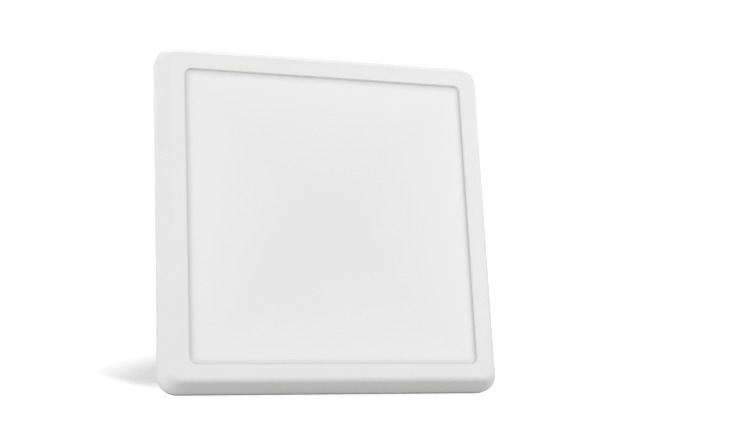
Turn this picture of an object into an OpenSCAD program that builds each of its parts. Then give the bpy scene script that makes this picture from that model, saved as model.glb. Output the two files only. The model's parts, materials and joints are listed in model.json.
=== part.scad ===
// Square LED panel light on an adjustable spring-clip bracket.
// X runs to the right seen from the front, Z up, and Y to the rear. The origin is the centre of the
// bracket's cable hole on the mounting plane: the lamp lies in front of it, at negative Y.

/* [Lamp] */
// Side of the square frame
lamp_side = 300; // [290:5:320]
// From the mounting plane to the front face
lamp_depth = 25; // [24.5:0.5:28]
// Corner radius of the frame, seen from the front
corner_r = 16; // [15:0.5:20]
// Width of the slope between the flat border and the side, seen from the front
slope_w = 9.2; // [8:0.1:10]
// Angle of that slope, from the front face
side_slope = 60; // [52:1:62]
// Wall of the frame moulding
frame_wall = 2.8; // [2.4:0.1:3]
// Border of the frame, from its side to the opening
border_w = 23; // [22:0.5:25]
// Corner radius of the opening
opening_r = 6; // [5:0.5:9]
// Width of the slope around the opening
lip_w = 0.4; // [0.2:0.1:1]
// Gap between the frame's rear edge and the mounting plane
rear_gap = 0.8; // [0.4:0.1:1.4]

/* [Light stack] */
// How far the diffuser reaches past the opening on each side
stack_lap = 4; // [3:0.5:4]
// Thickness of the opal diffuser
diffuser_t = 1.5; // [1:0.1:1.8]
// Thickness of the light guide plate
guide_t = 3; // [2.5:0.1:3.2]
// Thickness of the reflector sheet
reflector_t = 0.4; // [0.2:0.1:0.5]
// Thickness of the heat spreader plate
spreader_t = 0.8; // [0.6:0.1:1]
// Thickness of an LED strip's board
strip_t = 1; // [0.8:0.1:1.2]
// Distance between LED chips along a strip
chip_pitch = 10; // [8:1:16]

/* [Rear shell] */
// Wall of the shell moulding
shell_wall = 2; // [1.6:0.1:2.2]
// Gap between the shell's side and the frame's wall
shell_gap = 0.2; // [0.1:0.05:0.3]
// Depth of the recess for the bracket
recess_depth = 12; // [11.5:0.1:12.4]
// From the frame's side to the recess floor's edge
recess_inset = 34; // [33:0.5:36]
// Slope of the recess's side walls, measured along X
side_draft = 6.4; // [4:0.2:7]
// Slope of the recess's bottom wall, measured along Z
bottom_draft = 8.4; // [5:0.2:9]
// Height of the plateau's edge above the centre
plateau_z = 73.5; // [72:0.5:76]
// Slope of the plateau's edge, measured along Z
plateau_draft = 8.5; // [6:0.5:10]
// Depth of the shelf beside the recess
shelf_depth = 4; // [3.6:0.1:4.4]
// From the frame's side to the shelf's outer edge
shelf_rim = 6.6; // [6:0.2:7.4]
// Width of an ear channel at the rim
ear_w = 28; // [26:1:30]
// From the frame's side to an ear channel
ear_inset = 25; // [24:0.5:27]
// Slope of an ear channel's side walls
ear_draft = 4; // [2:0.5:5]
// Slope of an ear channel's top wall
ear_top_draft = 9; // [6:0.5:11]

/* [Screws] */
// From the frame's side to a row of shell screws
screw_inset = 10.5; // [10:0.1:11]
// From each side to a corner screw
corner_inset = 13.1; // [12.6:0.1:13.8]
// From the frame's side to a screw on the shelf
shelf_screw_inset = 11.8; // [11:0.1:12]
// Distance between the screws of a row
screw_pitch = 72; // [66:1:76]
// Depth of the lowest side screw below the centre
low_screw_z = 78.5; // [77:0.5:82]
// Radius of a screw head
head_r = 3.15; // [2.8:0.05:3.3]
// Height of a screw head
head_h = 1.8; // [1.4:0.1:1.9]
// Radius of a screw's shank
shank_r = 1.4; // [1.2:0.05:1.5]
// Length of a shell screw under its head
shell_screw_len = 14; // [12:0.5:14]
// Radius of a screw boss
boss_r = 3.5; // [3.2:0.1:3.7]

/* [Terminal box] */
// Middle of the terminal cover, to the left of the centre
cover_x = 52.7; // [50:0.5:54]
// Width of the terminal cover
cover_w = 43.3; // [40:0.5:45]
// Height of the cover's upper edge above the centre
cover_top_z = 103.6; // [101:0.2:106]
// Height of the cover's lower edge above the centre
cover_low_z = 61.2; // [61:0.1:61.8]
// Thickness of the cover
cover_t = 1.8; // [1.5:0.1:1.9]
// How far the hood is wider than the cover, on each side
hood_lap = 2.2; // [1.8:0.1:2.6]
// Height of the cover's screws above the centre
cover_screw_z = 83.3; // [82:0.5:88]
// Width of the cable entry
entry_w = 9; // [7:0.5:10]

/* [Labels] */
// Thickness of a label
label_t = 0.15; // [0.1:0.01:0.2]
// Width of the rating label
rating_w = 62; // [58:1:66]
// Height of the rating label
rating_h = 34.6; // [32:0.2:36]
// Middle of the rating label, to the right of the centre
rating_x = 23.4; // [22:0.2:26]
// Width of the serial label
serial_w = 23.8; // [20:0.2:26]
// Height of the serial label
serial_h = 9.8; // [8:0.2:10]
// Angle at which the serial label was stuck on
serial_tilt = -1.5; // [-3:0.5:3]

/* [Latches] */
// Width of a latch
latch_w = 15.4; // [14.6:0.2:15.6]
// Height of a latch
latch_h = 19.4; // [19:0.2:19.8]
// Thickness of a latch plate
latch_t = 1.6; // [1.4:0.1:1.7]
// From the frame's side to a latch's middle
latch_inset = 15.7; // [15.6:0.1:16]
// Travel of a latch
latch_travel = 7; // [6.8:0.1:7.4]
// Height of the pad around a latch
pad_h = 36; // [34:1:38]

/* [Bracket] */
// Thickness of the bracket's sheet steel
steel_t = 1; // [0.8:0.1:1.1]
// Distance of each rail from the centre
rail_z = 48; // [47:0.5:48.5]
// Width of a rail
rail_w = 20; // [19:0.5:20.4]
// Depth of a rail's flanges, with the sheet
flange_d = 4.5; // [3.5:0.1:4.6]
// Width of the centre plate
plate_w = 47.6; // [44:0.4:50]
// Radius of the cable hole
cable_r = 13.5; // [11:0.5:14]
// From the frame's side to the inner end of a toothed slot
slot_start = 103.6; // [102:0.4:106]
// From the frame's side to the outer end of a toothed slot
slot_end = 40; // [39.6:0.1:44]
// Width of a toothed slot between its teeth
slot_w = 5.5; // [5.2:0.1:6]
// Width of a toothed slot across its teeth
tooth_w = 9.5; // [8:0.1:10]
// Distance between teeth
tooth_pitch = 6; // [5:0.25:7]
// Width of a screw slot at a rail's end
end_slot_w = 3.6; // [3.2:0.1:4]
// Length of a screw slot
end_slot_l = 13; // [11:0.5:14]
// Width of the tongue that a latch holds
tongue_w = 6; // [5:0.2:6]

/* [Clips] */
// From the frame's side to the inner end of a slider
slider_start = 84.2; // [82:0.2:86]
// Length of a slider's saddle
slider_l = 24.2; // [22:0.2:24.4]
// Thickness of a slider's sheet
slider_t = 0.8; // [0.6:0.1:0.9]
// Running gap between a slider and its rail
slider_gap = 0.3; // [0.2:0.05:0.35]
// From the slider's start to the spring pin
pin_offset = 26.8; // [26.4:0.1:27.4]
// Height of the spring pin above the mounting plane
pin_y = 4.6; // [4.5:0.1:5]
// Radius of the spring pin
pin_r = 1; // [0.9:0.05:1.2]
// Radius of the spring wire
wire_r = 0.6; // [0.45:0.05:0.62]
// Mean radius of the coil
coil_r = 3; // [2.8:0.05:3.1]
// Turns of the coil
coil_turns = 6; // [4:1:6]
// Distance from the pin to the bail's tip
bail_reach = 37.4; // [36:0.2:38]
// Height of the bail's tip above the mounting plane
tip_y = 1.9; // [1.8:0.1:2.4]
// Length of a silicone tip
tip_l = 12.6; // [11:0.2:12.8]

/* [Tether] */
// Radius of the wire rope
rope_r = 0.6; // [0.5:0.05:0.75]
// Thickness of a ring lug
lug_t = 0.8; // [0.6:0.1:1]
// Outer radius of a ring lug
lug_r = 3.8; // [3.4:0.1:4]

/* [Hidden] */
$fn = 48;
nudge = 0.5;
half = lamp_side / 2;
white = [0.93, 0.93, 0.92];
steel = [0.42, 0.43, 0.44];
bright_steel = [0.66, 0.68, 0.67];

// The light stack, counted forward from the mounting plane
stack_front = lamp_depth - frame_wall;
guide_front = stack_front - diffuser_t;
reflector_front = guide_front - guide_t;
spreader_front = reflector_front - reflector_t;
stack_rear = spreader_front - spreader_t;
stack_side = lamp_side - 2 * border_w + 2 * stack_lap;
chip_t = 0.7;
chip_gap = 0.1;
strip_x = stack_side / 2 + chip_gap + chip_t;
strip_fold = stack_front - spreader_front - 0.3;

// The shell
shell_half = half - frame_wall - shell_gap;
shell_r = corner_r - frame_wall - shell_gap;
tub_depth = recess_depth + shell_wall;
skirt_depth = slope_rear(frame_wall) - shell_gap;
skirt_step = (tub_depth - skirt_depth) / tan(side_slope);
recess_x = half - recess_inset;
recess_top_z = plateau_z - plateau_draft;
shelf_x = recess_x + side_draft;
shelf_out = half - shelf_rim;
shelf_draft = 1.8;
shelf_low = recess_x + bottom_draft - 2;
ear_out = half - ear_inset;
ear_in = ear_out - ear_w;
ear_top = half - ear_inset;

// Shell screws: place in X and Z, and the depth of the surface that the head sits in
row = half - screw_inset;
corner = half - corner_inset;
shelf_row = half - shelf_screw_inset;
SPOTS = [
    for (s = [-1, 1]) each [
        for (t = [-1, 1]) [s * corner, t * corner, 0],
        for (x = [-1, 0, 1]) [x * screw_pitch, s * row, 0],
        [s * row, screw_pitch, 0],
        [s * shelf_row, 0, shelf_depth],
        [s * shelf_row, -low_screw_z, shelf_depth]
    ]
];
head_sink = 0.3;
hole_fit = 0.05;
clear_fit = 0.3;

// The terminal box
cover_gap = 0.3;
hood_low_z = cover_low_z - 0.6;
hood_top_z = plateau_z + 0.8;
box_wall = 1.5;
cover_screw_x = cover_w / 2 + head_r + 0.15;
block_w = 23;
block_h = 15;
block_front = recess_depth - 0.1;
block_rear = 2.6;
block_z = 89;
chamber_wall = 2;

// The driver board lies under the plateau, between the terminal chamber and an ear channel
board_left = cover_w / 2 + cover_gap + chamber_wall - cover_x + 14.75;
board_right = ear_in - shell_wall - 5;
board_low = plateau_z + 8.5;
board_top = shell_half - shell_wall - 15;
board = [board_right - board_left, board_top - board_low, 1.6];
board_x = (board_left + board_right) / 2;
board_z = (board_low + board_top) / 2;
board_rear = 11.8;
board_hole_inset = 5;

// Labels, one above the other on the plateau
rating_z = plateau_z + 3.3 + rating_h / 2;
serial_x = rating_x + 4.2;
serial_z = rating_z + rating_h / 2 + 1.1 + serial_h / 2;

// Latches
latch_x = half - latch_inset;
latch_sink = 0.2;
pad_x = latch_x - latch_w / 2 - 2;
pad_top = rail_w / 2 + 0.4;
pocket_depth = latch_sink + latch_t + 0.2;
leg_w = 0.9;
leg_h = 4;
leg_gap = 0.3;
leg_offset = 4.9;
skin_depth = shelf_depth + shell_wall;

// Bracket
joggle = latch_sink + latch_t + 0.3;
rail_x = recess_x + 2;
joggle_w = 3;
rail_end = pad_x - 0.4;
tongue_end = latch_x + 3.5;
tongue_low = 2.8;
flange_end = recess_x;
end_slot_x = rail_x - end_slot_w / 2 - 1.5;
plate_lap = 12;
teeth_start = half - slot_start;
teeth_end = half - slot_end;
rib_x = 18.4;
rib_w = 5.6;
rib_d = 1.2;
plate_h = 2 * (rail_z - rail_w / 2);

// Clips
saddle_start = half - slider_start;
pin_x = saddle_start + pin_offset;
wall_z = rail_w / 2 + slider_gap;
ear_half = 4;
eye_z = wall_z - 0.4 - wire_r;
coil_half = eye_z - 2 * wire_r - 0.2;
pin_half = wall_z + slider_t + 1.2;
tab_x = saddle_start + 15.8;
window = 8;
tip_x = pin_x + bail_reach;
tip_half = 1.4;
leg_z = tip_l / 2 + 1.4;

// Tether: the ends of its lugs, and the hand-laid route of the rope between them
lamp_lug = [-69.6, -8.6, -68];
bracket_lug = [8, -6.4, -50];
ROPE = [
    [-66, -8.6, -80], [-64.5, -8.6, -85], [-62, -8.8, -89.5], [-58, -9.2, -93.2], [-52.5, -9.4, -95.6],
    [-46.5, -9.6, -96.6], [-40, -9.6, -96.3], [-33, -9.6, -94.4], [-26, -9.4, -90.9], [-19.5, -9.2, -86],
    [-13.5, -8.6, -80.3], [-8, -7.8, -74], [-3.8, -6.9, -68.8], [-0.7, -6.4, -64.5], [2, -6.4, -60]
];
lug_hole_r = 1.65;
lug_boss_r = 4;
barrel_r = 1.3;

// ---- Shapes that several pieces share ----

// A flat plan in X and Z, t thick, with its rear face depth d in front of the mounting plane
module slab(d, t) {
    translate([0, -d, 0])
        rotate([90, 0, 0])
            linear_extrude(t)
                children();
}

// A profile in Y and Z, extruded along X between x0 and x1
module along_x(x0, x1) {
    translate([x0, 0, 0])
        rotate([90, 0, 90])
            linear_extrude(x1 - x0)
                children();
}

// A profile in X and Y, extruded along Z between z0 and z1
module along_z(z0, z1) {
    translate([0, 0, z0])
        linear_extrude(z1 - z0)
            children();
}

// A box given by its least and greatest X, depth and Z
module block(x0, x1, d0, d1, z0, z1) {
    translate([x0, -d1, z0])
        cube([x1 - x0, d1 - d0, z1 - z0]);
}

// A round bar along Y, from depth d0 to depth d1
module post(x, z, r, d0, d1) {
    translate([x, -d0, z])
        rotate([90, 0, 0])
            cylinder(r = r, h = d1 - d0);
}

module rect(x0, x1, y0, y1) {
    translate([x0, y0])
        square([x1 - x0, y1 - y0]);
}

module round_rect(w, h, r) {
    square([w, h - 2 * r], center = true);
    square([w - 2 * r, h], center = true);
    for (x = [-1, 1], y = [-1, 1])
        translate([x * (w / 2 - r), y * (h / 2 - r)])
            circle(r);
}

// A slot with round ends, from x0 to x1 and w wide
module slot_plan(x0, x1, w) {
    rect(x0 + w / 2, x1 - w / 2, -w / 2, w / 2);
    for (x = [x0 + w / 2, x1 - w / 2])
        translate([x, 0])
            circle(w / 2);
}

// Both sides of the lamp
module both_sides() {
    for (m = [0, 1])
        mirror([m, 0, 0])
            children();
}

// A block with round corners, side wide at depth rear and wider by 2 * w at depth front
module flare(side, r, w, rear, front) {
    centre = side / 2 - r;
    for (x = [-1, 1], z = [-1, 1])
        translate([x * centre, -rear, z * centre])
            rotate([90, 0, 0])
                cylinder(r1 = r, r2 = r + w, h = front - rear);
    for (a = [0, 90])
        rotate([0, a, 0])
            along_x(-centre, centre)
                polygon([
                    [-rear, -side / 2], [-rear, side / 2],
                    [-front, side / 2 + w], [-front, -side / 2 - w]
                ]);
}

// The slope of the frame's side, e deep inside the moulding: its width, and the depth of its rear end
function slope_width(e) = slope_w - e * (1 - tan(side_slope / 2));
function slope_rear(e) = lamp_depth - e - slope_width(e) * tan(side_slope);

// The body of the frame, e deep inside the moulding
module crown(e, rear) {
    side = lamp_side - 2 * e;
    slab(rear, slope_rear(e) - rear)
        round_rect(side, side, corner_r - e);
    flare(side, corner_r - e, -slope_width(e), slope_rear(e), lamp_depth - e);
}

// ---- Tubes along a route ----

function unit(v) = v / norm(v);
function tangent(p, i) = unit(p[min(i + 1, len(p) - 1)] - p[max(i - 1, 0)]);
function across(n, t) = unit(n - (n * t) * t);
function any_side(t) = across(abs(t.z) < 0.8 ? [0, 0, 1] : [1, 0, 0], t);
function sides_of(p) = [
    for (i = 0, n = any_side(tangent(p, 0)); i < len(p);
         i = i + 1, n = i < len(p) ? across(n, tangent(p, i)) : n) n
];

module tube(p, r, sides = 8) {
    n = sides_of(p);
    last = len(p) - 1;
    points = [
        for (i = [0 : last], k = [0 : sides - 1])
            let (a = 360 * k / sides)
                p[i] + r * (cos(a) * n[i] + sin(a) * cross(tangent(p, i), n[i]))
    ];
    walls = [
        for (i = [0 : last - 1], k = [0 : sides - 1])
            let (a = i * sides + k, b = i * sides + (k + 1) % sides)
                each [[a, a + sides, b + sides], [a, b + sides, b]]
    ];
    near_cap = [for (k = [0 : sides - 1]) k];
    far_cap = [for (k = [sides - 1 : -1 : 0]) last * sides + k];
    polyhedron(points, concat(walls, [near_cap, far_cap]));
}

// ---- Lamp ----

// The opening in the frame, with the slope around it
module opening() {
    side = lamp_side - 2 * border_w;
    slope_d = frame_wall - 0.4;
    start = lamp_depth - slope_d;
    slab(stack_front - nudge, frame_wall + 2 * nudge)
        round_rect(side, side, opening_r);
    flare(side, opening_r, lip_w * (slope_d + nudge) / slope_d, start, lamp_depth + nudge);
}

module front_frame() {
    color(white)
        difference() {
            union() {
                difference() {
                    crown(0, rear_gap);
                    crown(frame_wall, 0);
                }
                intersection() {
                    crown(frame_wall / 2, rear_gap);
                    for (s = SPOTS)
                        post(s.x, s.y, boss_r, tub_depth, lamp_depth);
                }
            }
            opening();
            for (s = SPOTS)
                post(s.x, s.y, shank_r + hole_fit, tub_depth - nudge, screw_tip(s) + nudge);
        }
}

function screw_tip(s) = s.z + head_sink + head_h + shell_screw_len;

// One sheet of the light stack
module sheet(front, t) {
    slab(front - t, t)
        square(stack_side, center = true);
}

module diffuser() {
    color([0.96, 0.96, 0.95])
        sheet(stack_front, diffuser_t);
}

module light_guide_plate() {
    color([0.85, 0.92, 0.93, 0.7])
        sheet(guide_front, guide_t);
}

module reflector_sheet() {
    color([0.98, 0.98, 0.98])
        sheet(reflector_front, reflector_t);
}

module heat_spreader() {
    side = 2 * (strip_x + strip_t + spreader_t);
    color([0.75, 0.76, 0.78]) {
        slab(stack_rear, spreader_t)
            square([side, stack_side], center = true);
        both_sides()
            block(side / 2 - spreader_t, side / 2, stack_rear, spreader_front + strip_fold - nudge,
                  -stack_side / 2, stack_side / 2);
    }
}

module led_strip(s) {
    color([0.9, 0.9, 0.86])
        mirror([s < 0 ? 1 : 0, 0, 0])
            block(strip_x, strip_x + strip_t, spreader_front, spreader_front + strip_fold,
                  3 - stack_side / 2, stack_side / 2 - 3);
}

module led_strip_left() {
    led_strip(-1);
}

module led_strip_right() {
    led_strip(1);
}

module led_chips() {
    count = floor((stack_side / 2 - 6) / chip_pitch);
    middle = (reflector_front + guide_front) / 2;
    color([0.95, 0.85, 0.4])
        both_sides()
            for (i = [-count : count])
                block(strip_x - chip_t, strip_x, middle - 1, middle + 1,
                      i * chip_pitch - 1.75, i * chip_pitch + 1.75);
}

// The recess for the bracket: its four walls slope
module recess() {
    intersection() {
        along_z(-half, half)
            polygon([
                [-recess_x, -recess_depth], [recess_x, -recess_depth],
                [recess_x + slope(side_draft), nudge], [-recess_x - slope(side_draft), nudge]
            ]);
        along_x(-half, half)
            polygon([
                [-recess_depth, -recess_x], [-recess_depth, recess_top_z],
                [nudge, recess_top_z + slope_up(plateau_draft)], [nudge, -recess_x - slope_up(bottom_draft)]
            ]);
    }
}

// A wall's slope ends at the shelf, or at the rim, and is carried on past it
function slope(draft) = draft * (recess_depth + nudge) / (recess_depth - shelf_depth);
function slope_up(draft) = draft * (recess_depth + nudge) / recess_depth;

module shelf() {
    intersection() {
        along_z(-shelf_low, rail_z + pad_top)
            polygon([
                [recess_x - 1, -shelf_depth], [shelf_out - shelf_draft, -shelf_depth],
                [shelf_out, nudge], [recess_x - 1, nudge]
            ]);
        slab(-nudge, shelf_depth + 2 * nudge)
            round_rect(2 * shelf_out, 2 * shelf_low, 6);
    }
}

module ear_channel() {
    low = plateau_z - plateau_draft - 6;
    intersection() {
        along_z(low, ear_top)
            polygon([
                [ear_in + ear_draft, -recess_depth], [ear_out - ear_draft, -recess_depth],
                [ear_out, nudge], [ear_in, nudge]
            ]);
        along_x(ear_in - 1, ear_out + 1)
            polygon([
                [-recess_depth, low], [-recess_depth, ear_top - ear_top_draft],
                [nudge, ear_top], [nudge, low]
            ]);
    }
}

// The plan of the spaces under the rim and plateau, closed by one wall
module under_rim_plan() {
    inside = shell_half - shell_wall;
    intersection() {
        round_rect(2 * inside, 2 * inside, shell_r - shell_wall);
        union() {
            rect(-half, half, ear_top + shell_wall, half);
            rect(shell_wall - ear_in, ear_in - shell_wall, plateau_z + 3, half);
            rect(-half, half, -half, -recess_x - bottom_draft - shell_wall);
            both_plans()
                rect(ear_out + shell_wall, half, rail_z + pad_top + shell_wall, half);
        }
    }
}

module under_shelf_plan() {
    inside = shell_half - shell_wall;
    intersection() {
        round_rect(2 * inside, 2 * inside, shell_r - shell_wall);
        both_plans()
            rect(shelf_x + shell_wall, half, -half, rail_z + pad_top + shell_wall + 1);
    }
}

module both_plans() {
    for (m = [0, 1])
        mirror([m, 0])
            children();
}

module shell_body() {
    difference() {
        union() {
            slab(0, skirt_depth)
                round_rect(2 * shell_half, 2 * shell_half, shell_r);
            slab(skirt_depth, tub_depth - skirt_depth)
                round_rect(2 * (shell_half - skirt_step), 2 * (shell_half - skirt_step),
                           shell_r - skirt_step);
        }
        recess();
        both_sides() {
            shelf();
            ear_channel();
        }
        slab(shell_wall, tub_depth)
            under_rim_plan();
        slab(skin_depth, tub_depth)
            under_shelf_plan();
    }
}

// The pads that carry the latches, one above and one below the centre on each side
module pads() {
    both_sides()
        for (z = [-rail_z, rail_z])
            block(pad_x, half - frame_wall - shell_gap - 1, 0, skin_depth,
                  z + pad_top - pad_h, z + pad_top);
}

module latch_pocket() {
    low = latch_h / 2 + latch_travel + clear_fit;
    side = latch_w / 2 + clear_fit;
    block(latch_x - side, latch_x + side, -nudge, pocket_depth, -low, latch_h / 2 + clear_fit);
    block(pad_x - nudge, tongue_end + 0.6, -nudge, joggle + steel_t + clear_fit,
          tongue_low - 0.4, tongue_low + tongue_w + 0.4);
    for (x = [-leg_offset, leg_offset])
        block(latch_x + x - leg_w / 2 - leg_gap, latch_x + x + leg_w / 2 + leg_gap,
              0, skin_depth + nudge, leg_gap - low, leg_h - latch_h / 2 + leg_gap);
}

// The chamber for the terminals, in the plateau, open at the rear and below
module chamber() {
    side = cover_w / 2 + cover_gap;
    hood = side + hood_lap;
    translate([-cover_x, 0, 0]) {
        block(-side, side, -nudge, 2, hood_top_z - nudge, cover_top_z + cover_gap);
        block(box_wall - side, side - box_wall, 0, recess_depth, hood_top_z - nudge, cover_top_z - box_wall);
        block(-hood, hood, -nudge, recess_depth, hood_low_z, hood_top_z);
        block(-8, 8, 5, 9, cover_top_z - box_wall - 1, cover_top_z + 4);
        for (x = [-cover_screw_x, cover_screw_x]) {
            post(x, cover_screw_z, head_r + clear_fit, -nudge, 2 + cover_t);
            post(x, cover_screw_z, shank_r + hole_fit, 0, 10.5);
            block(min(x, 0), max(x, 0), -nudge, 2 + cover_t,
                  cover_screw_z - head_r - clear_fit, cover_screw_z + head_r + clear_fit);
        }
    }
}

module chamber_walls() {
    side = cover_w / 2 + cover_gap;
    translate([-cover_x, 0, 0]) {
        block(-side - chamber_wall, side + chamber_wall, 0, tub_depth, plateau_z, cover_top_z + 2);
        for (x = [-cover_screw_x, cover_screw_x])
            post(x, cover_screw_z, boss_r + 1.5, 0, 11.5);
    }
}

// The board's two fixing points, at opposite corners
module at_board_holes() {
    for (s = [-1, 1])
        translate([board_x + s * (board.x / 2 - board_hole_inset), 0,
                   board_z - s * (board.y / 2 - board_hole_inset)])
            children();
}

module board_posts() {
    at_board_holes()
        post(0, 0, boss_r, 1, board_rear);
}

module rear_shell() {
    color(white)
        difference() {
            union() {
                shell_body();
                pads();
                chamber_walls();
                board_posts();
                for (s = SPOTS)
                    post(s.x, s.y, boss_r, s.z, tub_depth);
                post(lamp_lug.x, lamp_lug.z, lug_boss_r, -lamp_lug.y + lug_t / 2, stack_rear - 0.2);
                for (x = [-1, 1])
                    block(x * 60 - 1.5, x * 60 + 1.5, tub_depth - 1, stack_rear, -80, 40);
            }
            both_sides()
                for (z = [-rail_z, rail_z])
                    translate([0, 0, z])
                        latch_pocket();
            for (s = SPOTS) {
                post(s.x, s.y, head_r + 0.25, s.z - nudge, s.z + head_sink + head_h);
                post(s.x, s.y, shank_r + clear_fit, s.z, tub_depth + nudge);
            }
            at_board_holes()
                post(0, 0, shank_r + hole_fit, 4, board_rear + nudge);
            post(lamp_lug.x, lamp_lug.z, shank_r + hole_fit, 0, stack_rear - 1);
            chamber();
        }
}

// A pan-head screw at depth d, with its drive pointing to the rear
module screw(x, z, d, len) {
    difference() {
        union() {
            post(x, z, head_r, d, d + head_h);
            post(x, z, shank_r, d + head_h, d + head_h + len);
        }
        for (w = [[2.6, 0.6], [0.6, 2.6]])
            block(x - w.x / 2, x + w.x / 2, d - nudge, d + 0.9, z - w.y / 2, z + w.y / 2);
    }
}

module shell_screws() {
    color(bright_steel)
        for (s = SPOTS)
            screw(s.x, s.y, s.z + head_sink, shell_screw_len);
}

// ---- Driver and terminals ----

module driver_board() {
    color([0.1, 0.4, 0.2])
        difference() {
            block(board_left, board_right, board_rear, board_rear + board.z, board_low, board_top);
            at_board_holes()
                post(0, 0, shank_r + 0.2, board_rear - nudge, board_rear + board.z + nudge);
        }
}

module board_screws() {
    color(bright_steel)
        at_board_holes() {
            post(0, 0, head_r - 0.4, board_rear + board.z, board_rear + board.z + 1);
            post(0, 0, shank_r, 6, board_rear + board.z);
        }
}

module transformer() {
    x = board_right - 52;
    z = board_z - 2;
    color([0.85, 0.75, 0.2])
        block(x + 2, x + 18, 3.6, board_rear - 1, z - 9, z + 9);
    color([0.1, 0.1, 0.1]) {
        block(x - 1, x + 21, 5.5, 9, z - 10, z + 10);
        for (foot = [x, x + 18])
            block(foot, foot + 2, 9, board_rear, z - 8, z + 8);
    }
}

module filter_capacitors() {
    color([0.15, 0.15, 0.2])
        for (p = [[board_left + 28, 8], [board_left + 28, -6], [board_right - 16, 2]])
            post(p.x, board_z + p.y, 4.5, 2.6, board_rear);
}

module choke() {
    color([0.6, 0.35, 0.15])
        translate([board_left + 12, -board_rear, board_z + 2])
            rotate([90, 0, 0])
                translate([0, 0, -7])
                    difference() {
                        cylinder(r = 6, h = 7);
                        translate([0, 0, -nudge])
                            cylinder(r = 2.4, h = 7 - 1.5 + nudge);
                    }
}

module terminal_block() {
    pole = block_w / 3;
    color([0.9, 0.9, 0.88])
        difference() {
            block(-cover_x - block_w / 2, -cover_x + block_w / 2, block_rear, block_front,
                  block_z - block_h / 2, block_z + block_h / 2);
            for (i = [-1, 0, 1]) {
                post(-cover_x + i * pole, block_z, 2.2, block_rear - nudge, block_rear + 3);
                post(-cover_x + i * pole, block_z, 1.25, block_rear, block_rear + 6);
                translate([-cover_x + i * pole, -7.5, block_z - block_h / 2 - nudge])
                    cylinder(r = 1.8, h = 5);
            }
        }
}

module terminal_screws() {
    pole = block_w / 3;
    color([0.8, 0.7, 0.4])
        for (i = [-1, 0, 1]) {
            post(-cover_x + i * pole, block_z, 1.9, block_rear + 1.4, block_rear + 3);
            post(-cover_x + i * pole, block_z, 1.2, block_rear + 3, block_rear + 5.5);
        }
}

// Two insulated leads from the terminals over the chamber's wall to the board
module mains_leads() {
    top = block_z + block_h / 2;
    for (i = [0, 1])
        color(i == 0 ? [0.35, 0.2, 0.1] : [0.1, 0.25, 0.6])
            tube([
                [-cover_x + 3 - 6 * i, -7, top], [-cover_x + 3 - 6 * i, -7, top + 8],
                [-cover_x + 4 - 6 * i, -7, top + 13 + 4 * i], [-cover_x + 8 - 6 * i, -7.2, top + 16 + 4 * i],
                [-26, -9, top + 17 + 4 * i], [-20, -11, top + 17 + 4 * i],
                [board_left - 2, -12.6, top + 17 + 4 * i], [board_left, -12.6, top + 17 + 4 * i]
            ], 0.8);
}

// One lead to each LED strip, in the gap between the shell and the heat spreader
module led_leads() {
    run_z = stack_side / 2 + 2.4;
    run_y = -(board_rear + board.z / 2);
    end_x = strip_x + strip_t / 2;
    for (s = [-1, 1])
        color([0.8, 0.1, 0.1])
            tube([
                [board_x + s * 30, run_y, board_top], [board_x + s * 30, run_y, run_z - 2],
                [board_x + s * 31, run_y, run_z], [board_x + s * 33, run_y - 1, run_z],
                [s * (end_x - 6), run_y - 1, run_z], [s * (end_x - 2), run_y - 3, run_z],
                [s * end_x, run_y - 5, run_z - 0.6], [s * end_x, run_y - 5.4, run_z - 2],
                [s * end_x, run_y - 5.4, stack_side / 2 - 3]
            ], 0.45);
}

// The cover's plan, with its lower corners rounded
module cover_plan(top) {
    side = cover_w / 2;
    rect(-side, side, cover_low_z + 4, top);
    rect(4 - side, side - 4, cover_low_z, top);
    for (x = [4 - side, side - 4])
        translate([x, cover_low_z + 4])
            circle(4);
}

module terminal_cover() {
    side = cover_w / 2;
    hood = side + hood_lap;
    deep = recess_depth - 0.2;
    color([0.96, 0.96, 0.95])
        translate([-cover_x, 0, 0])
            difference() {
                union() {
                    slab(0.1, cover_t)
                        cover_plan(cover_top_z);
                    slab(1, 2.4)
                        cover_plan(hood_top_z - 0.3);
                    block(-hood, hood, 2.6, deep, hood_low_z + 0.3, hood_top_z - 0.3);
                    for (x = [-cover_screw_x, cover_screw_x]) {
                        post(x, cover_screw_z, head_r, 2.2, 2 + cover_t);
                        block(min(x, side * sign(x)), max(x, side * sign(x)), 2.2, 2 + cover_t,
                              cover_screw_z - 2, cover_screw_z + 2);
                        block(min(side * sign(x), (side - 1.4) * sign(x)),
                              max(side * sign(x), (side - 1.4) * sign(x)), 1, 2 + cover_t,
                              cover_screw_z - 2, cover_screw_z + 2);
                    }
                }
                block(box_wall - hood, hood - box_wall, 3, deep + nudge,
                      hood_low_z + 0.3 + box_wall, hood_top_z + 6);
                block(-entry_w / 2, entry_w / 2, deep - 6, deep + nudge,
                      hood_low_z - nudge, hood_low_z + 3);
                for (x = [-cover_screw_x, cover_screw_x])
                    post(x, cover_screw_z, shank_r + clear_fit, 0, 4);
            }
}

module cover_screws() {
    color(bright_steel)
        for (x = [-cover_screw_x, cover_screw_x])
            screw(x - cover_x, cover_screw_z, 2.2 - head_h, 7.5);
}

module label(x, z, w, h, tilt) {
    slab(-label_t, label_t)
        translate([x, z])
            rotate(tilt)
                square([w, h], center = true);
}

module serial_label() {
    color([0.62, 0.62, 0.6])
        label(serial_x, serial_z, serial_w, serial_h, serial_tilt);
}

module rating_label() {
    color([0.5, 0.5, 0.5])
        label(rating_x, rating_z, rating_w, rating_h, 0);
}

// ---- Latches ----

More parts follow.
